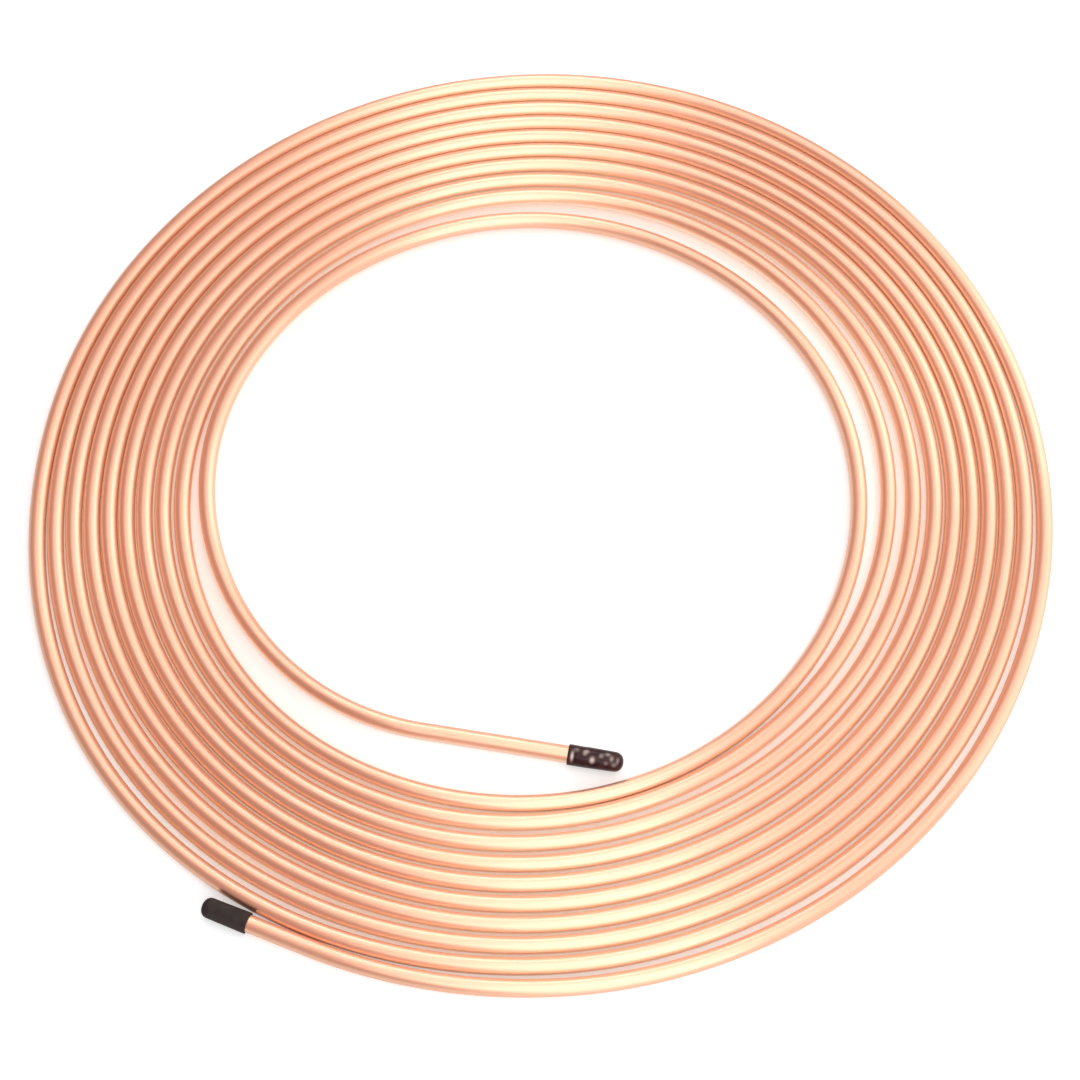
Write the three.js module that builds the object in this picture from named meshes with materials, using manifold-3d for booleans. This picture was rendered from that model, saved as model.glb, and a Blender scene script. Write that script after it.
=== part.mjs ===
// A flat, single-layer coil of soft-drawn copper tube, with a push-on cap on each end.
// The tube is one length, wound as a spiral from the outside in. Its turns lie side by side
// on the floor, tight on one side and slack on the others, as hand-laid soft tube lies.
// Units are millimetres and degrees. +Z is up and the floor is z = 0. Azimuths turn
// anticlockwise from +X, seen from above, about the middle of the winding. The finished group is
// shifted so that the origin is the middle of the coil's footprint.

import * as THREE from 'three';
import { mergeVertices } from 'three/addons/utils/BufferGeometryUtils.js';
import Module from 'manifold-3d';

const wasm = await Module();
wasm.setup();

// ---- the tube ----
const TUBE_OD = 9.52;              // outside diameter, the 3/8 inch size
const TUBE_WALL = 0.81;
const BORE_DEPTH = 45;             // how far in from each end the bore is cut; beyond it the tube is solid
const TUBE_SIDES = 12;             // flats round the tube, with one flat on the floor

// ---- the winding ----
const COIL_RADIUS = 289.3;         // centre-line radius where the outermost turn starts
const OUTER_AZIMUTH = 246.5;       // where the outermost turn starts
const INNER_AZIMUTH = 156.5;       // where the innermost turn ends
const WHOLE_TURNS = 9;             // full turns, before the part turn from OUTER_ to INNER_AZIMUTH
const STEPS_PER_TURN = 48;
const OVAL = 2.3;                  // how far the coil is out of round, long and short way
const OVAL_AZIMUTH = 55;

// ---- the gaps between its turns, as hand winding leaves them ----
const TURN_GAP = 0.25;             // narrowest gap between neighbouring turns
const SIDE_SLACK = 0.62;           // more gap than that on two opposite sides of the coil
const SIDE_SLACK_AZIMUTH = 84;
const FRONT_SLACK = 0.91;          // and on one side of it
const FRONT_SLACK_AZIMUTH = 300;
const EASE_FROM = 5.6;             // from this turn on, the winding eases inwards turn by turn
const EASE = 0.19;                 // all round
const EASE_SIDE = 0.69;            // and on one side of it
const EASE_AZIMUTH = 4;
const EASE_REACH = 100;
const BULGE = 5.2;                 // a kink that the outer turns share
const BULGE_AZIMUTH = 222;
const BULGE_REACH = 50;
const BULGE_TURN = 0.9;            // the turn where the kink is widest
const BULGE_TURNS = 2.5;           // over how many turns it dies out
const OUTER_SPRING = 1.9;          // how far the outermost turn springs away from the next
const OUTER_SPRING_TURNED = 72;    // how far into the winding
const OUTER_SPRING_REACH = 75;
const INNER_SPRING = 6.2;          // how far the innermost turn springs inwards
const INNER_SPRING_LEFT = 91;      // how far before the end of the winding
const INNER_SPRING_REACH = 92;
const INNER_SNUG = 3.3;            // before that it lies snug, this much nearer its neighbour than eased
const INNER_SNUG_LEFT = 215;
const INNER_SNUG_REACH = 66;

// ---- the two ends ----
const OUTER_STUB = 58;             // straight tube at the outer end, along the tangent
const INNER_STUB = 107.4;          // straight tube at the inner end
const INNER_STUB_INSET = 15.3;     // how far inside the innermost turn its mouth lies
const INNER_STUB_AZIMUTH = 284.5;  // where its mouth lies
const INNER_STUB_HEADING = 350;    // which way it points
const BEND_OUT = 103;              // control lengths of the bend between the last turn and the stub
const BEND_IN = 98;
const BEND_STEPS = 12;

// ---- the caps ----
const OUTER_CAP_LENGTH = 26;
const INNER_CAP_LENGTH = 30;
const CAP_WALL = 0.55;
const CAP_CLEARANCE = 0.3;         // between the tube's corners and the cap's bore
const CAP_NOSE = 3.2;              // solid end of the cap
const CAP_NOSE_RADIUS = 4;         // rounding of that end
const CAP_TAPER = 0.25;            // how much narrower in radius the cap is at its nose
const CAP_SIDES = 24;              // a multiple of TUBE_SIDES, so the corners line up
const CAP_NOSE_STEPS = 5;

// ---- sizes worked out from these ----
const tubeRadius = TUBE_OD / 2;
const cornerRadius = tubeRadius / Math.cos(Math.PI / TUBE_SIDES);
const capBore = cornerRadius + CAP_CLEARANCE;
const capRadius = capBore + CAP_WALL;
const sweep = 360 * WHOLE_TURNS + THREE.MathUtils.euclideanModulo(INNER_AZIMUTH - OUTER_AZIMUTH, 360);
const windingSteps = Math.round((sweep / 360) * STEPS_PER_TURN);

const cosDeg = (degrees) => Math.cos(THREE.MathUtils.degToRad(degrees));
const sinDeg = (degrees) => Math.sin(THREE.MathUtils.degToRad(degrees));

// 1 where the difference between two angles is 0, falling smoothly to 0 at `reach`.
const near = (difference, reach) => (Math.abs(difference) < reach ? cosDeg((90 * difference) / reach) ** 2 : 0);

// The shorter way round from one azimuth to another.
const between = (from, to) => THREE.MathUtils.euclideanModulo(to - from + 180, 360) - 180;

// Distance from one turn to the next at an azimuth, centre-line to centre-line.
function pitchAt(azimuth) {
  const sides = SIDE_SLACK * cosDeg(azimuth - SIDE_SLACK_AZIMUTH) ** 2;
  const front = FRONT_SLACK * near(between(FRONT_SLACK_AZIMUTH, azimuth), 90);
  return TUBE_OD + TURN_GAP + sides + front;
}

// Centre-line radius after the winding has turned through an angle.
function radiusAt(turned) {
  const azimuth = OUTER_AZIMUTH + turned;
  const turns = turned / 360;
  const oval = OVAL * cosDeg(2 * (azimuth - OVAL_AZIMUTH));
  const easing = EASE + EASE_SIDE * near(between(EASE_AZIMUTH, azimuth), EASE_REACH);
  const eased = easing * Math.max(0, turns - EASE_FROM) ** 2;
  const kinked = Math.max(0, 1 - Math.abs(turns - BULGE_TURN) / BULGE_TURNS);
  const bulge = BULGE * near(between(BULGE_AZIMUTH, azimuth), BULGE_REACH) * kinked;
  const outer = OUTER_SPRING * near(turned - OUTER_SPRING_TURNED, OUTER_SPRING_REACH);
  const inner = INNER_SPRING * near(sweep - INNER_SPRING_LEFT - turned, INNER_SPRING_REACH);
  const snug = INNER_SNUG * near(sweep - INNER_SNUG_LEFT - turned, INNER_SNUG_REACH);
  return COIL_RADIUS + oval - pitchAt(azimuth) * turns - eased + bulge + outer - inner + snug;
}

function polar(radius, azimuth, height = tubeRadius) {
  return new THREE.Vector3(radius * cosDeg(azimuth), radius * sinDeg(azimuth), height);
}

const windingPoint = (turned) => polar(radiusAt(turned), OUTER_AZIMUTH + turned);

function windingTangent(turned) {
  const small = 0.05;
  return windingPoint(turned + small).sub(windingPoint(turned - small)).normalize();
}

// How much of the tube a cap covers.
const gripOf = (capLength) => capLength - CAP_NOSE - CAP_CLEARANCE;

// A straight end: it leaves `start` along `heading` and rises just enough for the cap on it
// to clear the floor at its mouth.
function stubAxis(start, heading, length, capLength) {
  const rise = (capRadius - tubeRadius) / (length - gripOf(capLength));
  const axis = new THREE.Vector3(heading.x, heading.y, rise).normalize();
  const end = start.clone().addScaledVector(axis, length);
  return { start, axis, end };
}

const outerStub = stubAxis(windingPoint(0), windingTangent(0).negate(), OUTER_STUB, OUTER_CAP_LENGTH);

// The inner end lies inside the innermost turn, and its mouth keeps its distance from that turn.
const turnedBesideMouth = sweep - THREE.MathUtils.euclideanModulo(INNER_AZIMUTH - INNER_STUB_AZIMUTH, 360);
const innerHeading = new THREE.Vector3(cosDeg(INNER_STUB_HEADING), sinDeg(INNER_STUB_HEADING), 0);
const innerMouth = polar(radiusAt(turnedBesideMouth) - INNER_STUB_INSET, INNER_STUB_AZIMUTH);
const innerStart = innerMouth.addScaledVector(innerHeading, -INNER_STUB);
const innerStub = stubAxis(innerStart, innerHeading, INNER_STUB, INNER_CAP_LENGTH);

const bend = new THREE.CubicBezierCurve3(
  windingPoint(sweep),
  windingPoint(sweep).addScaledVector(windingTangent(sweep), BEND_OUT),
  innerStub.start.clone().addScaledVector(innerHeading, -BEND_IN),
  innerStub.start,
);

// The whole centre-line: outer stub, winding, bend, inner stub. Its parameter counts steps, not
// length, so that the facets of neighbouring turns stand at the same azimuths.
class CoilCentreLine extends THREE.Curve {
  constructor() {
    super();
    this.steps = 1 + windingSteps + BEND_STEPS + 1;
  }

  getPoint(t, target = new THREE.Vector3()) {
    const step = t * this.steps - 1;
    if (step < 0) return target.lerpVectors(outerStub.start, outerStub.end, -step);
    if (step <= windingSteps) return target.copy(windingPoint((step / windingSteps) * sweep));
    const past = step - windingSteps;
    if (past <= BEND_STEPS) return bend.getPoint(past / BEND_STEPS, target);
    return target.lerpVectors(innerStub.start, innerStub.end, past - BEND_STEPS);
  }

  getUtoTmapping(u) {
    return u;
  }
}

// ---- solids ----

function toSolid(geometry) {
  const bare = geometry.clone();
  bare.deleteAttribute('normal');
  bare.deleteAttribute('uv');
  const merged = mergeVertices(bare, 1e-4);
  const mesh = new wasm.Mesh({
    numProp: 3,
    vertProperties: new Float32Array(merged.attributes.position.array),
    triVerts: new Uint32Array(merged.index.array),
  });
  return new wasm.Manifold(mesh);
}

function toGeometry(solid) {
  const mesh = solid.getMesh();
  const geometry = new THREE.BufferGeometry();
  geometry.setAttribute('position', new THREE.BufferAttribute(new Float32Array(mesh.vertProperties), 3));
  geometry.setIndex(new THREE.BufferAttribute(new Uint32Array(mesh.triVerts), 1));
  geometry.computeVertexNormals();
  return geometry;
}

function polygon(sides, radius) {
  const points = [];
  for (let i = 0; i < sides; i += 1) {
    const angle = ((i + 0.5) / sides) * 2 * Math.PI;
    points.push(new THREE.Vector2(radius * Math.cos(angle), radius * Math.sin(angle)));
  }
  return new THREE.Shape(points);
}

function boreCutter(stub) {
  const cutterPath = new THREE.LineCurve3(
    stub.end.clone().addScaledVector(stub.axis, -BORE_DEPTH),
    stub.end.clone().addScaledVector(stub.axis, TUBE_WALL),
  );
  const boreCorner = cornerRadius - TUBE_WALL;
  return toSolid(new THREE.ExtrudeGeometry(polygon(TUBE_SIDES, boreCorner), {
    steps: 1,
    extrudePath: cutterPath,
  }));
}

function tubeGeometry() {
  const path = new CoilCentreLine();
  const rod = toSolid(new THREE.ExtrudeGeometry(polygon(TUBE_SIDES, cornerRadius), {
    steps: path.steps,
    extrudePath: path,
  }));
  const bored = rod.subtract(boreCutter(outerStub)).subtract(boreCutter(innerStub));
  return toGeometry(bored);
}

// The cap is a thin cup, cut square at its mouth, with a slight taper and a rounded nose.
// Y runs from the mouth to the nose.
function capGeometry(length) {
  const noseStart = length - CAP_NOSE_RADIUS;
  const noseEdge = capRadius - CAP_TAPER - CAP_NOSE_RADIUS;
  const profile = [
    new THREE.Vector2(0, length - CAP_NOSE),
    new THREE.Vector2(capBore, length - CAP_NOSE),
    new THREE.Vector2(capBore, 0),
    new THREE.Vector2(capRadius, 0),
  ];
  for (let i = 0; i <= CAP_NOSE_STEPS; i += 1) {
    const angle = (i / CAP_NOSE_STEPS) * 90;
    profile.push(new THREE.Vector2(
      noseEdge + CAP_NOSE_RADIUS * cosDeg(angle),
      noseStart + CAP_NOSE_RADIUS * sinDeg(angle),
    ));
  }
  profile.push(new THREE.Vector2(0, length));
  return toGeometry(toSolid(new THREE.LatheGeometry(profile, CAP_SIDES)));
}

function placeCap(mesh, stub, length) {
  const up = new THREE.Vector3(0, 0, 1);
  const side = new THREE.Vector3().crossVectors(stub.axis, up).normalize();
  const top = new THREE.Vector3().crossVectors(side, stub.axis);
  mesh.quaternion.setFromRotationMatrix(new THREE.Matrix4().makeBasis(side, stub.axis, top));
  mesh.position.copy(stub.end).addScaledVector(stub.axis, -gripOf(length));
}

// ---- the scene graph ----

const copper = new THREE.MeshStandardMaterial({ color: 0xe0936f, roughness: 0.28, metalness: 1 });
const charcoalVinyl = new THREE.MeshStandardMaterial({ color: 0x2b2523, roughness: 0.75, metalness: 0 });
const glossyVinyl = new THREE.MeshStandardMaterial({ color: 0x2a1618, roughness: 0.3, metalness: 0 });

const coil = new THREE.Group();

const tube = new THREE.Mesh(tubeGeometry(), copper);
tube.name = 'copper_tube';
coil.add(tube);

const outerCap = new THREE.Mesh(capGeometry(OUTER_CAP_LENGTH), charcoalVinyl);
outerCap.name = 'outer_end_cap';
placeCap(outerCap, outerStub, OUTER_CAP_LENGTH);
coil.add(outerCap);

const innerCap = new THREE.Mesh(capGeometry(INNER_CAP_LENGTH), glossyVinyl);
innerCap.name = 'inner_end_cap';
placeCap(innerCap, innerStub, INNER_CAP_LENGTH);
coil.add(innerCap);

const footprint = new THREE.Box3().setFromBufferAttribute(tube.geometry.attributes.position);
coil.position.set(-(footprint.min.x + footprint.max.x) / 2, -(footprint.min.y + footprint.max.y) / 2, 0);

export default coil;
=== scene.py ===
"""A flat coil of bright soft copper tube with a push-on cap on each end. Metres, +Z up, floor at z = 0."""

import bpy
import numpy as np
from mathutils import Matrix, Vector


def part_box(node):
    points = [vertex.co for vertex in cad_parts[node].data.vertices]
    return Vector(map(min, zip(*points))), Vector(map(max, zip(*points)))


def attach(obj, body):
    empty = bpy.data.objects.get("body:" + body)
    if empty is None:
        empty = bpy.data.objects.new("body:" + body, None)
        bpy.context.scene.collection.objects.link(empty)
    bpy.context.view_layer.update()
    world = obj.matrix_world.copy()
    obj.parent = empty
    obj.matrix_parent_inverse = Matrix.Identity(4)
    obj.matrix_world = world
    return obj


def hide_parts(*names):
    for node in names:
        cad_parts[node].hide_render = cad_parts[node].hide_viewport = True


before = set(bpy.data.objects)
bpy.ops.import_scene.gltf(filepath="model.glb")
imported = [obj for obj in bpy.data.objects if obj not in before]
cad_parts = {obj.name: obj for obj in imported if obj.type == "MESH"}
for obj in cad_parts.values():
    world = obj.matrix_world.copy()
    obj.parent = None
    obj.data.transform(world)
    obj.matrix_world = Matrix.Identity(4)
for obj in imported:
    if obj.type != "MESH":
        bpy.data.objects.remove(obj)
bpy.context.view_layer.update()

# ---------------------------------------------------------------- camera
# Looks down on the coil from the side of its two capped ends, from about two coil widths away.
view_from_floor = np.radians(63.3)
view_distance = 1.389
view_width = 0.6048                                     # what the frame spans at that distance
sensor_width = 36.0
looked_at = np.array([-0.00084, -0.02952, 0.00476])

camera = bpy.data.objects.new("camera", bpy.data.cameras.new("camera"))
bpy.context.scene.collection.objects.link(camera)
to_camera = np.array([0.0, -np.cos(view_from_floor), np.sin(view_from_floor)])
camera.location = looked_at + view_distance * to_camera
camera.rotation_euler = (np.pi / 2 - view_from_floor, 0.0, 0.0)
camera.data.sensor_width = sensor_width
camera.data.lens = sensor_width * view_distance / view_width
camera.data.clip_start = 0.05
bpy.context.scene.camera = camera

# ---------------------------------------------------------------- copper tube
# One length of soft-drawn, bright-annealed copper tube, 9.52 mm across with a 0.81 mm wall. It is wound
# flat from the outside in, nearly ten turns side by side on the floor, tight on the left and slack on
# the right. The outer end lies straight against the coil, and the inner one straight inside its eye.
tube_radius = 0.00476
tube_wall = 0.00081
bore_depth = 0.045
edge_break = 0.00015                                    # the deburred edge of the cut ends
tube_sides = 32

# The winding. Azimuths are in degrees, anticlockwise from +X, about its own middle.
coil_radius = 0.2893                                    # of the centre-line, where the winding starts
winding_start = 246.5
winding_turns = 9.75
rings_per_turn = 288
oval, oval_azimuth = 0.0023, 55                         # how far it is out of round, and its long way

# The gaps between its turns, as hand winding leaves them.
turn_gap = 0.00025                                      # the narrowest
side_slack, side_slack_azimuth = 0.00062, 84            # more on two opposite sides
front_slack, front_slack_azimuth = 0.00091, 300         # and on one side
front_slack_reach = 90
ease_from = 5.6                                         # from this turn on, the winding eases inwards
ease_all_round = 0.00019
ease_side, ease_azimuth, ease_reach = 0.00069, 4, 100
kink, kink_azimuth, kink_reach = 0.0052, 222, 50        # shared by the outer turns
kink_turn, kink_turns = 0.9, 2.5                        # where it is widest, and over how many turns it fades

# The outermost turn springs outwards and the innermost inwards, and before that it lies snug. Each has
# its height, its place in degrees from the winding's start or left to its end, and its reach either way.
outer_spring, outer_spring_turned, outer_spring_reach = 0.0019, 72, 75
inner_spring, inner_spring_left, inner_spring_reach = 0.0062, 91, 92
snug, snug_left, snug_reach = 0.0033, 215, 66

# The two straight ends, and the bend before the inner one.
outer_stub_length = 0.058
inner_stub_length = 0.1074
inner_stub_inset = 0.0153                               # its mouth lies this far inside the innermost turn
inner_stub_azimuth = 284.5
inner_stub_heading = 350.0
bend_out, bend_in = 0.103, 0.098                        # control lengths of the bend
outer_stub_steps, inner_stub_steps, bend_steps = 15, 20, 60

# The caps' mouths, which lift the two ends off the floor. A bore clears the CAD tube's twelve corners.
cap_wall = 0.00055
cap_clearance = 0.0003
cad_tube_sides = 12
cap_bore_radius = tube_radius / np.cos(np.pi / cad_tube_sides) + cap_clearance
cap_radius = cap_bore_radius + cap_wall
outer_cap_grip = 0.0225                                 # how much of the tube each cap covers
inner_cap_grip = 0.0265


def near(difference, reach):
    """1 at no difference, falling to 0 at reach as the square of a quarter cosine wave."""
    inside = np.abs(difference) < reach
    return np.where(inside, np.cos(np.radians(90 * difference / reach)) ** 2, 0.0)


def between(from_azimuth, to_azimuth):
    """The shorter way round from one azimuth to another."""
    return np.mod(to_azimuth - from_azimuth + 180, 360) - 180


def pitch(azimuth):
    """From one turn's centre-line to the next: the tube, the narrowest gap, and the slack there."""
    sides = side_slack * np.cos(np.radians(azimuth - side_slack_azimuth)) ** 2
    front = front_slack * near(between(front_slack_azimuth, azimuth), front_slack_reach)
    return 2 * tube_radius + turn_gap + sides + front


def winding_radius(turned):
    """Start radius, plus an oval of two lobes, less one pitch a turn. Less an easing that grows with the
    square of the turns past ease_from, plus a kink that the outer turns share, and the springs of the
    two end turns: outwards at the first, inwards at the last. Plus a stretch before that where the
    innermost turn hugs its neighbour."""
    azimuth = winding_start + turned
    turns = turned / 360
    left = 360 * winding_turns - turned
    lobes = oval * np.cos(np.radians(2 * (azimuth - oval_azimuth)))
    ease = ease_all_round + ease_side * near(between(ease_azimuth, azimuth), ease_reach)
    eased = ease * np.maximum(0, turns - ease_from) ** 2
    kinked = np.maximum(0, 1 - np.abs(turns - kink_turn) / kink_turns)
    kinked = kink * near(between(kink_azimuth, azimuth), kink_reach) * kinked
    sprung_out = outer_spring * near(turned - outer_spring_turned, outer_spring_reach)
    sprung_in = inner_spring * near(left - inner_spring_left, inner_spring_reach)
    hugging = snug * near(left - snug_left, snug_reach)
    spiral = coil_radius + lobes - pitch(azimuth) * turns
    return spiral - eased + kinked + sprung_out - sprung_in + hugging


def winding_point(turned):
    """The centre-line of the winding: its radius at each azimuth, one tube radius off the floor."""
    azimuth = np.radians(winding_start + turned)
    radius = winding_radius(turned)
    height = np.full_like(radius, tube_radius)
    return np.stack([radius * np.cos(azimuth), radius * np.sin(azimuth), height], -1)


def unit(vectors):
    """Each vector over its own length."""
    return vectors / np.linalg.norm(vectors, axis=-1, keepdims=True)


def straight(start, end, count):
    """Evenly spaced points from start to end, without the first."""
    return start + (end - start) * np.linspace(0, 1, count + 1)[1:, None]


def stub_end(start, heading, length, grip):
    """A straight end rises by what its cap's wall needs to clear the floor at the cap's mouth."""
    rise = (cap_radius - tube_radius) / (length - grip)
    return start + unit(heading + np.array([0, 0, rise])) * length


def heading_at(turned):
    """Which way the winding runs there: from a twentieth of a degree before to as far after."""
    return unit(winding_point(turned + 0.05) - winding_point(turned - 0.05))


whole_sweep = 360 * winding_turns
winding = winding_point(np.linspace(0, whole_sweep, round(winding_turns * rings_per_turn) + 1))
outer_heading = -heading_at(0)
outer_mouth = stub_end(winding[0], outer_heading, outer_stub_length, outer_cap_grip)

# The inner mouth keeps its distance from the innermost turn, and the inner end is laid back from it.
turned_beside_mouth = whole_sweep - np.mod(winding_start + whole_sweep - inner_stub_azimuth, 360)
radius_at_mouth = winding_radius(turned_beside_mouth) - inner_stub_inset
mouth_azimuth, heading = np.radians(inner_stub_azimuth), np.radians(inner_stub_heading)
inner_heading = np.array([np.cos(heading), np.sin(heading), 0])
mouth_on_floor = radius_at_mouth * np.array([np.cos(mouth_azimuth), np.sin(mouth_azimuth), 0])
inner_start = mouth_on_floor + [0, 0, tube_radius] - inner_heading * inner_stub_length
inner_mouth = stub_end(inner_start, inner_heading, inner_stub_length, inner_cap_grip)

# A cubic Bezier curve leads from the innermost turn to the inner end.
share = np.linspace(0, 1, bend_steps + 1)[1:, None]
bend = (
    (1 - share) ** 3 * winding[-1]
    + 3 * share * (1 - share) ** 2 * (winding[-1] + heading_at(whole_sweep) * bend_out)
    + 3 * share**2 * (1 - share) * (inner_start - inner_heading * bend_in)
    + share**3 * inner_start
)
outer_stub = straight(winding[0], outer_mouth, outer_stub_steps)[::-1]
inner_stub = straight(inner_start, inner_mouth, inner_stub_steps)
centre_line = np.concatenate([outer_stub, winding, bend, inner_stub])

# The CAD part's origin is at the middle of its own footprint, and the chords of its turns reach a hair
# less far than round turns do. So the path is moved and drawn in until it fills the same box.
cad_low, cad_high = map(np.array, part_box("copper_tube"))
cad_middle = np.array([*((cad_low + cad_high) / 2)[:2], 0])
cad_reach = np.array([*((cad_high - cad_low) / 2 - tube_radius)[:2], 1])
own_middle = np.array([*((centre_line.min(0) + centre_line.max(0)) / 2)[:2], 0])
own_reach = np.array([*((centre_line.max(0) - centre_line.min(0)) / 2)[:2], 1])


def placed(points):
    """Moved from the path's own middle to the CAD tube's, and scaled from its own reach to that one's."""
    return (points - own_middle) * cad_reach / own_reach + cad_middle


centre_line = placed(centre_line)
outer_start, outer_mouth = placed(winding[0]), placed(outer_mouth)
inner_start, inner_mouth = placed(inner_start), placed(inner_mouth)


def new_object(name, points, faces, sharp_over=50):
    """A smooth-shaded mesh object at the origin, with sharp edges where faces meet at over 50 degrees."""
    mesh = bpy.data.meshes.new(name)
    mesh.from_pydata(points.tolist(), [], faces)
    mesh.polygons.foreach_set("use_smooth", np.ones(len(mesh.polygons), dtype=bool))
    mesh.set_sharp_from_angle(angle=np.radians(sharp_over))
    piece = bpy.data.objects.new(name, mesh)
    bpy.context.scene.collection.objects.link(piece)
    return piece


def skin(rings):
    """Quads between neighbouring rings, as one grid closed round its sides, and a fan from the middle of
    the first ring and of the last."""
    count, sides = rings.shape[:2]
    corner = np.arange(count * sides).reshape(count, sides)
    beside = np.roll(corner, -1, 1)
    quads = np.stack([corner[:-1], corner[1:], beside[1:], beside[:-1]], -1).reshape(-1, 4)
    first, last = count * sides, count * sides + 1
    fan_first = np.stack([np.full(sides, first), corner[0], beside[0]], -1)
    fan_last = np.stack([corner[-1], np.full(sides, last), beside[-1]], -1)
    points = np.concatenate([rings.reshape(-1, 3), rings[0].mean(0)[None], rings[-1].mean(0)[None]])
    return points, quads.tolist() + fan_first.tolist() + fan_last.tolist()


def carry(path, along, radius):
    """A round section carried along a path: station i takes its place and its frame from the path at
    along[i] metres, and its circle has radius[i], one value or one for each side. Returns the rings, and
    each vertex's place on the straightened piece: metres along it, and its section's two coordinates."""
    steps = np.linalg.norm(np.diff(path, axis=0), axis=1)
    travelled = np.concatenate([[0], np.cumsum(steps)])
    tangents = unit(np.gradient(path, travelled, axis=0))
    centre = np.stack([np.interp(along, travelled, path[:, k]) for k in range(3)], -1)
    tangent = unit(np.stack([np.interp(along, travelled, tangents[:, k]) for k in range(3)], -1))
    side = unit(np.cross(tangent, [0, 0, 1]))
    top = np.cross(side, tangent)
    round_it = np.linspace(0, 2 * np.pi, radius.shape[1], endpoint=False)
    across, upward = radius * np.cos(round_it), radius * np.sin(round_it)
    rings = centre[:, None] + across[..., None] * side[:, None] + upward[..., None] * top[:, None]
    straightened = np.stack([np.broadcast_to(along[:, None], across.shape), across, upward], -1)
    return rings, straightened


def keep(piece, name, values):
    """Stores a number or a vector for each vertex on the piece, under a name that its material reads."""
    kind, field = ("FLOAT", "value") if values.ndim == 1 else ("FLOAT_VECTOR", "vector")
    attribute = piece.data.attributes.new(name, kind, "POINT")
    attribute.data.foreach_set(field, values.astype(np.float32).ravel())


def keep_place(piece, along, straightened):
    """Keeps each vertex's place on the straightened piece, the last two being the fans' middles."""
    middles = [[along[0], 0, 0], [along[-1], 0, 0]]
    keep(piece, "straightened", np.concatenate([straightened.reshape(-1, 3), middles]))


# Each end runs from the floor of its bore, out along the wall, over the deburred edges and back outside.
steps = np.linalg.norm(np.diff(centre_line, axis=0), axis=1)
stations = np.concatenate([[0], np.cumsum(steps)])
tube_length = stations[-1]
bore_radius = tube_radius - tube_wall
end_along = np.array([bore_depth, edge_break, 0, 0, edge_break])
end_radii = np.array([0, 0, edge_break, tube_wall - edge_break, tube_wall]) + bore_radius
along = np.concatenate([end_along, stations[1:-1], tube_length - end_along[::-1]])
radii = np.concatenate([end_radii, np.full(len(stations) - 2, tube_radius), end_radii[::-1]])
rings, straightened = carry(centre_line, along, np.repeat(radii[:, None], tube_sides, 1))
points, faces = skin(rings)
tube = new_object("soft_copper_tube", points, faces)
keep_place(tube, along, straightened)

# The flanks that face the next turn are painted a paler, less ruddy copper. This is painted light:
# it lifts the shade and the deep twice-reflected colour of the creases between the turns. The
# outermost and the innermost turn each have one flank that nothing shelters.
shelter_none, shelter_full = 0.0034, 0.0008             # heights over the centre-line, faded between
reached = outer_stub_length + np.cumsum(np.linalg.norm(np.diff(winding, axis=0), axis=1))
second_turn, last_turn = reached[rings_per_turn - 1], reached[-rings_per_turn - 1]
place, outward, upward = np.moveaxis(straightened, -1, 0)
unsheltered = ((place < second_turn) & (outward > 0)) | ((place > last_turn) & (outward < 0))
sheltered = np.clip((shelter_none - upward) / (shelter_none - shelter_full), 0, 1)
sheltered = np.where(unsheltered, 0, sheltered)
keep(tube, "sheltered", np.append(sheltered.ravel(), [0, 0]))


def fold(piece, along, radii, sides, rows):
    """A UV map of the skin unrolled to one long strip, which is cut into equal rows laid one above the
    other. u runs with the piece's length and v round it, and each row keeps clear of its edges."""
    clear_u, clear_v = 0.002, 0.04                          # shares of a row's length and height
    steps = np.hypot(np.diff(along), np.diff(radii))
    run = np.concatenate([[0, radii[0]], radii[0] + np.cumsum(steps)])
    run = np.append(run, run[-1] + radii[-1])               # pole, rings, pole
    row = np.minimum((run[:-1] + run[1:]) / 2 / run[-1] * rows, rows - 1).astype(int)
    row_start = np.array([run[:-1][row == r].min() for r in range(rows)])
    row_end = np.array([run[1:][row == r].max() for r in range(rows)])
    longest = (row_end - row_start).max() * (1 + 2 * clear_u)
    u_near = (run[:-1] - row_start[row]) / longest + clear_u
    u_far = (run[1:] - row_start[row]) / longest + clear_u
    side = np.arange(sides)

    def v(turn):
        return (row[:, None] + clear_v + (1 - 2 * clear_v) * turn[None] / sides) / rows

    def spread(u):
        return np.repeat(u[:, None], sides, 1)

    low, middle, high = v(side), v(side + 0.5), v(side + 1)
    corners = [(u_near, low), (u_far, low), (u_far, high), (u_near, high)]
    quads = np.stack([np.stack([spread(u), v_], -1)[1:-1] for u, v_ in corners], 2).reshape(-1, 2)
    corners = [(u_near, middle), (u_far, low), (u_far, high)]
    fan_first = np.stack([np.stack([spread(u), v_], -1)[0] for u, v_ in corners], 1).reshape(-1, 2)
    corners = [(u_near, low), (u_far, middle), (u_near, high)]
    fan_last = np.stack([np.stack([spread(u), v_], -1)[-1] for u, v_ in corners], 1).reshape(-1, 2)
    uv = piece.data.uv_layers.new(name="OFBake")
    uv.data.foreach_set("uv", np.concatenate([quads, fan_first, fan_last]).astype(np.float32).ravel())


strip_rows = 22
fold(tube, along, radii, tube_sides, strip_rows)


def surface(name):
    """A new material. Returns it with its nodes, its links and its Principled shader."""
    material = bpy.data.materials.new(name)
    material.use_nodes = True
    tree = material.node_tree
    return material, tree.nodes, tree.links, tree.nodes["Principled BSDF"]


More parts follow.
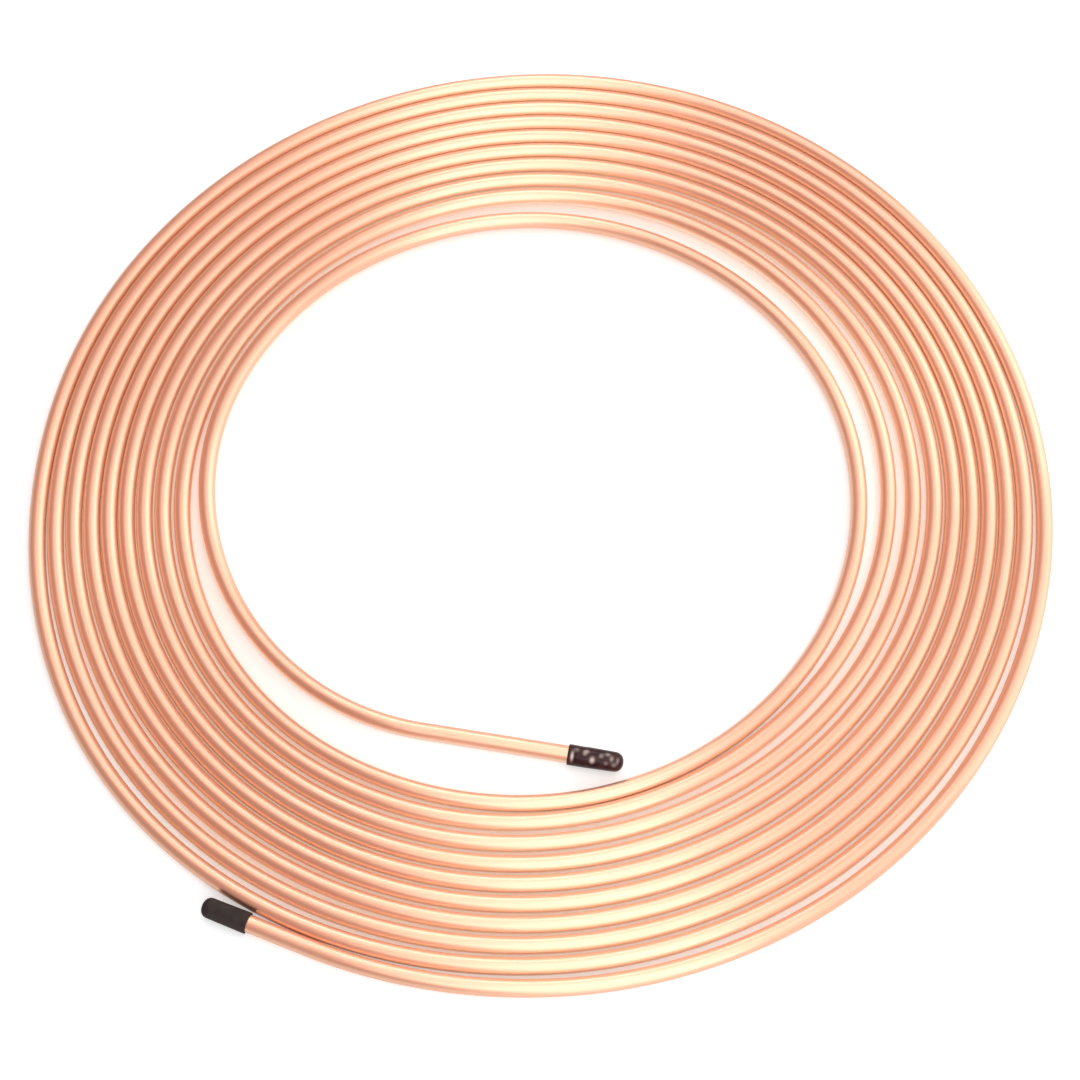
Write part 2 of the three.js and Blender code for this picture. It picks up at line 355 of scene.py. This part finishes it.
def clouds(nodes, links, source, stretch, scale, detail):
    """Noise read from an attribute's place, which is first multiplied by stretch along each axis."""
    place = nodes.new("ShaderNodeAttribute")
    place.attribute_name = source
    mapping = nodes.new("ShaderNodeMapping")
    mapping.inputs["Scale"].default_value = stretch
    links.new(place.outputs["Vector"], mapping.inputs["Vector"])
    noise = nodes.new("ShaderNodeTexNoise")
    noise.inputs["Scale"].default_value = scale
    noise.inputs["Detail"].default_value = detail
    links.new(mapping.outputs["Vector"], noise.inputs["Vector"])
    return noise.outputs["Fac"]


def ramp(nodes, links, value, from_low, from_high, low, high):
    """A value brought from one range to another, held at its ends."""
    spread = nodes.new("ShaderNodeMapRange")
    spread.inputs["From Min"].default_value = from_low
    spread.inputs["From Max"].default_value = from_high
    spread.inputs["To Min"].default_value = low
    spread.inputs["To Max"].default_value = high
    links.new(value, spread.inputs["Value"])
    return spread.outputs["Result"]


def blend(nodes, links, factor, first, second):
    """The first colour where the factor is 0, the second where it is 1. Either may be a socket."""
    mix = nodes.new("ShaderNodeMix")
    mix.data_type = "RGBA"
    links.new(factor, mix.inputs["Factor"])
    for socket, colour in ((mix.inputs[6], first), (mix.inputs[7], second)):
        if isinstance(colour, tuple):
            socket.default_value = colour
        else:
            links.new(colour, socket)
    return mix.outputs[2]


# Drawing through a die leaves the tube smooth along its length and finely streaked across it, so its
# highlights are narrow lengthwise and broad round the tube.
bright_copper, ruddy_copper = (0.890, 0.555, 0.395, 1), (0.905, 0.530, 0.370, 1)
# The second colour here is painted light: a paler copper for the flanks between the turns, lifting the shade
# of the creases.
streak_copper, painted_light_flank_copper = (0.78, 0.41, 0.265, 1), (0.92, 0.68, 0.53, 1)

copper, nodes, links, shader = surface("bright_annealed_copper")
shader.inputs["Metallic"].default_value = 1.0
shader.inputs["Anisotropic"].default_value = 0.8
shader.inputs["Anisotropic Rotation"].default_value = 0.25
lengthwise = nodes.new("ShaderNodeTangent")
lengthwise.direction_type = "UV_MAP"
lengthwise.uv_map = "OFBake"
links.new(lengthwise.outputs["Tangent"], shader.inputs["Tangent"])
streaks = clouds(nodes, links, "straightened", (0.012, 1, 1), 900, 2)
handled = clouds(nodes, links, "straightened", (0.4, 1, 1), 60, 3)
annealed = clouds(nodes, links, "straightened", (1, 1, 1), 6, 2)
ruddiness = ramp(nodes, links, annealed, 0.35, 0.65, 0, 1)
clean = blend(nodes, links, ruddiness, bright_copper, ruddy_copper)
streaked = blend(nodes, links, ramp(nodes, links, streaks, 0.3, 0.7, 0, 0.3), clean, streak_copper)
# Painted light: the flanks between the turns are painted paler, lifting the shade of the creases.
flanks = nodes.new("ShaderNodeAttribute")
flanks.attribute_name = "sheltered"
coppery = blend(nodes, links, flanks.outputs["Fac"], streaked, painted_light_flank_copper)
links.new(coppery, shader.inputs["Base Color"])
links.new(ramp(nodes, links, handled, 0.3, 0.75, 0.31, 0.35), shader.inputs["Roughness"])
tube.data.materials.append(copper)

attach(tube, "root")
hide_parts("copper_tube")

# ---------------------------------------------------------------- outer end cap
# A dip-moulded cap of matte charcoal vinyl, pushed over the outer end until its mouth grips the tube.
# Its mouth is cut square, and its barrel narrows a hair towards the rounded nose.
cap_sides = 64
outer_cap_length = 0.026
outer_nose_length = 0.0048
outer_nose_radius = cap_radius - 0.00028
outer_nose_squareness = 2.4


def cup(length, mouth_radius, nose_length, nose_radius, squareness):
    """A cup's skin from the middle of its floor, over the mouth and barrel, to the tip of its nose: how
    far each ring is along it, and its radius. The floor's corner and the mouth's edges are broken. The
    barrel's radius goes evenly from mouth to nose, and the nose is a quarter superellipse."""
    depth = length - 0.55 * nose_length - cap_wall
    corner, lip = 0.0006, 0.25 * cap_wall
    bore = np.array([depth, depth, depth - corner, 0.0009, 0.0001])
    bore_radii = np.array([0.35, 0.86, 1, 1, 1]) * cap_bore_radius
    rim = np.array([0, 0, lip])
    rim_radii = np.array([cap_bore_radius + lip, mouth_radius - lip, mouth_radius])
    nose_start = length - nose_length
    barrel = np.linspace(0.0008, nose_start, 60)
    barrel_radii = mouth_radius + (nose_radius - mouth_radius) * (barrel / nose_start)
    curve = np.linspace(0, np.pi / 2, 15)[1:-1]
    nose = nose_start + nose_length * np.sin(curve) ** (2 / squareness)
    nose_radii = nose_radius * np.cos(curve) ** (2 / squareness)
    along = np.concatenate([bore, rim, barrel, nose, [length]])
    radii = np.concatenate([bore_radii, rim_radii, barrel_radii, nose_radii, [0.12 * nose_radius]])
    return along, radii


def push_on(name, along, radii, start, mouth, grip, length):
    """A cap with its axis on the tube's straight end, from start to mouth, of which it covers grip."""
    axis = unit(mouth - start)
    cap_line = mouth - axis * grip + axis * np.linspace(0, length, 5)[:, None]
    rings, straightened = carry(cap_line, along, radii)
    points, faces = skin(rings)
    cap = new_object(name, points, faces)
    keep_place(cap, along, straightened)
    return cap


along, radii = cup(
    outer_cap_length, cap_radius, outer_nose_length, outer_nose_radius, outer_nose_squareness
)
radii = np.repeat(radii[:, None], cap_sides, 1)
outer_cap = push_on(
    "charcoal_cap", along, radii, outer_start, outer_mouth, outer_cap_grip, outer_cap_length
)


def emboss(nodes, links, shader, height, strength, distance):
    """Tilts the shader's normal by a height's slope, as a relief that many metres deep."""
    bump = nodes.new("ShaderNodeBump")
    bump.inputs["Strength"].default_value = strength
    bump.inputs["Distance"].default_value = distance
    links.new(height, bump.inputs["Height"])
    links.new(bump.outputs["Normal"], shader.inputs["Normal"])


sooty, dusty = (0.023, 0.015, 0.014, 1), (0.042, 0.031, 0.027, 1)

charcoal, nodes, links, shader = surface("matte_charcoal_vinyl")
shader.inputs["Specular IOR Level"].default_value = 0.25
mottle = clouds(nodes, links, "straightened", (1, 1, 1), 160, 3)
grain = clouds(nodes, links, "straightened", (1, 1, 1), 2600, 2)
dustiness = ramp(nodes, links, mottle, 0.35, 0.65, 0, 1)
links.new(blend(nodes, links, dustiness, sooty, dusty), shader.inputs["Base Color"])
links.new(ramp(nodes, links, mottle, 0.3, 0.7, 0.62, 0.78), shader.inputs["Roughness"])
emboss(nodes, links, shader, grain, 0.25, 0.00006)
outer_cap.data.materials.append(charcoal)

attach(outer_cap, "root")
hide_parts("outer_end_cap")

# ---------------------------------------------------------------- inner end cap
# A glossy cap of dark maroon vinyl, pushed over the inner end. It is thinner than the other, so its
# barrel swells and dents a little over the tube, and pale pink glints are painted into its colour over the
# dents, as painted highlights.
inner_cap_length = 0.030
inner_mouth_radius = cap_radius - 0.0001
inner_nose_length = 0.0052
inner_nose_radius = 0.93 * cap_radius
inner_nose_squareness = 2.3
swell, swell_share = 0.00012, 0.85                      # over this share of its length from the mouth
dented_share = 0.9
rings_inside = 7                                        # the bore's five and the rim's first two

along, radii = cup(
    inner_cap_length, inner_mouth_radius, inner_nose_length, inner_nose_radius, inner_nose_squareness
)
outside = (np.arange(len(along)) >= rings_inside)[:, None]
share_along = (along / inner_cap_length)[:, None]
angle = np.linspace(0, 360, cap_sides, endpoint=False)[None]


def spot(at, towards, length, width):
    """1 at a place on the cap's skin, falling as a bell curve along the cap and round it in degrees."""
    return np.exp(-(((share_along - at) / length) ** 2) - (between(towards, angle) / width) ** 2)


# Each row: where along the cap, where round it, reach along it, reach round it, and depth.
dents = sum(
    depth * spot(at, towards, length, width)
    for at, towards, length, width, depth in (
        (0.10, 61, 0.050, 40, 0.00015),
        (0.32, 100, 0.060, 22, 0.00018),
        (0.45, 57, 0.055, 24, 0.00022),
        (0.60, 90, 0.050, 20, 0.00018),
        (0.72, 110, 0.050, 22, 0.00016),
        (0.79, 82, 0.050, 20, 0.00018),
        (0.72, 45, 0.060, 20, 0.00014),
        (0.25, 150, 0.070, 30, 0.00014),
    )
)
bulge = swell * np.sin(np.pi * np.clip(share_along / swell_share, 0, 1))
radii = radii[:, None] + outside * (bulge - dents * (share_along < dented_share))
inner_cap = push_on(
    "maroon_cap", along, radii, inner_start, inner_mouth, inner_cap_grip, inner_cap_length
)

# Painted highlights: pale glints painted into the cap's colour. Each row: where along the cap, where round
# it, reach along it, reach round it, and strength.
painted_glints = sum(
    strength * spot(at, towards, length, width)
    for at, towards, length, width, strength in (
        (0.085, 61, 0.026, 26, 1.0),
        (0.45, 57, 0.042, 17, 1.0),
        (0.33, 102, 0.050, 14, 0.50),
        (0.30, 88, 0.035, 14, 0.35),
        (0.60, 90, 0.045, 14, 0.40),
        (0.71, 106, 0.050, 14, 0.42),
        (0.79, 82, 0.035, 16, 0.50),
        (0.90, 76, 0.030, 20, 0.35),
        (0.70, 50, 0.045, 12, 0.28),
        (0.84, 47, 0.045, 14, 0.34),
        (0.15, 104, 0.050, 16, 0.28),
    )
)
keep(inner_cap, "glint_painted", np.append((outside * painted_glints).ravel(), [0, 0]))

deep_maroon, worn_maroon = (0.018, 0.003, 0.005, 1), (0.052, 0.015, 0.014, 1)
# The pale pink of the painted highlights on the inner cap.
painted_glint_pink = (0.84, 0.66, 0.60, 1)

maroon, nodes, links, shader = surface("glossy_maroon_vinyl")
shader.inputs["Roughness"].default_value = 0.3
shader.inputs["Specular IOR Level"].default_value = 0.2
shader.inputs["Coat Weight"].default_value = 0.1
shader.inputs["Coat Roughness"].default_value = 0.08
mottle = clouds(nodes, links, "straightened", (1, 1, 1), 330, 3)
wear = ramp(nodes, links, mottle, 0.35, 0.65, 0, 1)
body = blend(nodes, links, wear, deep_maroon, worn_maroon)
# Painted highlights: pale glints mixed into the cap's colour at the listed spots.
glint_painted = nodes.new("ShaderNodeAttribute")
glint_painted.attribute_name = "glint_painted"
paleness = ramp(nodes, links, glint_painted.outputs["Fac"], 0.05, 1, 0, 0.85)
links.new(blend(nodes, links, paleness, body, painted_glint_pink), shader.inputs["Base Color"])
creases = clouds(nodes, links, "straightened", (1, 1, 1), 420, 2)
emboss(nodes, links, shader, creases, 0.35, 0.0004)
inner_cap.data.materials.append(maroon)

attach(inner_cap, "root")
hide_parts("inner_end_cap")

# ---------------------------------------------------------------- floor and studio light
# A plain white floor under plain soft light: large soft boxes above and around the coil, in a white room
# that the camera sees at its full white. Metal sees it dimmer and warm, like the copper around it. The
# paper between the turns has a painted glow of copper-coloured light, as if bounced from the tube, which
# the camera sees and the metal mirrors.
floor_reach = 1.2                                       # from the coil's middle to each edge
# Between these distances from the middle the painted glow of bounced copper light on the paper rises and
# falls.
turns_begin, turns_full = 0.165, 0.195                  # distances from the middle, between which the warmth
turns_thin, turns_end = 0.268, 0.290                    # rises at the eye and falls at the coil's rim
matte_white, pure_white = (0.8, 0.8, 0.8, 1), (1, 1, 1, 1)
# Painted light: the copper colour that the paper's glow among the turns is painted with.
painted_bounce_white = (0.78, 0.48, 0.34, 1)                   # the paper's glow among the turns
glow_seen = 0.4                                         # brings the lit paper up to white for the camera
# Among the turns the paper's glow is painted brighter in the metal's mirror, which lifts the shade of the
# creases.
glow_mirrored_open, painted_glow_mirrored_among = 0.22, 0.45


def reckon(nodes, links, operation, *values):
    """What a Math node makes of its values, each a number or a socket."""
    maths = nodes.new("ShaderNodeMath")
    maths.operation = operation
    for socket, value in zip(maths.inputs, values):
        if isinstance(value, (int, float)):
            socket.default_value = value
        else:
            links.new(value, socket)
    return maths.outputs[0]


sheet = floor_reach * np.array([[-1, -1, 0], [1, -1, 0], [1, 1, 0], [-1, 1, 0]])
floor = new_object("floor", sheet, [[0, 1, 2, 3]])

paper, nodes, links, shader = surface("white_floor")
shader.inputs["Base Color"].default_value = matte_white
shader.inputs["Roughness"].default_value = 0.9
shader.inputs["Specular IOR Level"].default_value = 0.0
ray = nodes.new("ShaderNodeLightPath").outputs
from_middle = nodes.new("ShaderNodeVectorMath")
from_middle.operation = "LENGTH"
links.new(nodes.new("ShaderNodeTexCoord").outputs["Object"], from_middle.inputs[0])
distance = from_middle.outputs["Value"]
past_eye = ramp(nodes, links, distance, turns_begin, turns_full, 0, 1)
short_of_rim = ramp(nodes, links, distance, turns_thin, turns_end, 1, 0)
among = reckon(nodes, links, "MULTIPLY", past_eye, short_of_rim)

# The glow that the camera sees, and the one that metal mirrors. Among the turns both are painted light: the
# camera's glow is tinted copper, and the mirrored one is stronger.
mirrored = reckon(nodes, links, "MAXIMUM", ray["Is Glossy Ray"], ray["Is Transmission Ray"])
glow_mirrored = ramp(nodes, links, among, 0, 1, glow_mirrored_open, painted_glow_mirrored_among)
glow_mirrored = reckon(nodes, links, "MULTIPLY", mirrored, glow_mirrored)
glow = reckon(nodes, links, "MULTIPLY_ADD", ray["Is Camera Ray"], glow_seen, glow_mirrored)
glow_colour = blend(nodes, links, among, pure_white, painted_bounce_white)
glow_colour = blend(nodes, links, ray["Is Camera Ray"], pure_white, glow_colour)
links.new(glow_colour, shader.inputs["Emission Color"])
links.new(glow, shader.inputs["Emission Strength"])
floor.data.materials.append(paper)

room_lit, room_mirrored, room_seen = 0.27, 0.56, 1.0    # its strength on matte surfaces, in metal, in view
room_warmth = (1.0, 0.69, 0.64, 1)                      # its colour in metal

world = bpy.data.worlds.new("studio")
bpy.context.scene.world = world
world.use_nodes = True
nodes, links = world.node_tree.nodes, world.node_tree.links
background = nodes["Background"]
ray = nodes.new("ShaderNodeLightPath").outputs
in_view = reckon(nodes, links, "MAXIMUM", ray["Is Camera Ray"], ray["Is Transmission Ray"])
strength = ramp(nodes, links, in_view, 0, 1, room_lit, room_seen)
added = room_mirrored - room_lit
strength = reckon(nodes, links, "MULTIPLY_ADD", ray["Is Glossy Ray"], added, strength)
links.new(strength, background.inputs["Strength"])
warmth = blend(nodes, links, ray["Is Glossy Ray"], pure_white, room_warmth)
links.new(warmth, background.inputs["Color"])


def soft_box(name, towards, height, distance, width, length, turned_by, radiance):
    """A soft box that faces the coil's middle from an azimuth and a height in degrees, turned about its
    own axis. Its power is its radiance times pi times its area. The camera doesn't see it."""
    data = bpy.data.lights.new(name, "AREA")
    data.shape = "RECTANGLE"
    data.size, data.size_y = width, length
    data.energy = radiance * np.pi * width * length
    light = bpy.data.objects.new(name, data)
    bpy.context.scene.collection.objects.link(light)
    around, up = np.radians(towards), np.radians(height)
    sideways = Vector((-np.sin(around), np.cos(around), 0))
    back = Vector((np.cos(up) * np.cos(around), np.cos(up) * np.sin(around), np.sin(up)))
    upwards = sideways.cross(-back)
    spin = np.radians(turned_by)
    across = sideways * np.cos(spin) + upwards * np.sin(spin)
    facing = Matrix((across, back.cross(across), back)).transposed()
    light.matrix_world = Matrix.Translation(back * distance) @ facing.to_4x4()
    light.visible_camera = False


# Each line: azimuth and height, distance, width, length, turn about its own axis, and radiance.
soft_box("strip_overhead", 311, 89, 1.76, 0.65, 2.51, 2, 1.44)
soft_box("strip_front", 279, 38, 1.6, 1.04, 2.24, 18, 1.74)
soft_box("soft_box_right", 351, 37, 1.3, 2.94, 1.14, 9, 0.87)
soft_box("soft_box_back", 61, 44, 1.9, 1.72, 0.95, 35, 1.30)
soft_box("soft_box_beyond", 92, 40, 2.22, 0.75, 0.6, 54, 2.87)
soft_box("soft_box_low", 19, 8, 1.32, 2.0, 0.65, -4, 1.35)
soft_box("soft_box_above", 8, 71, 1.4, 0.87, 1.14, 4, 0.52)

bpy.context.scene.view_settings.view_transform = "Standard"
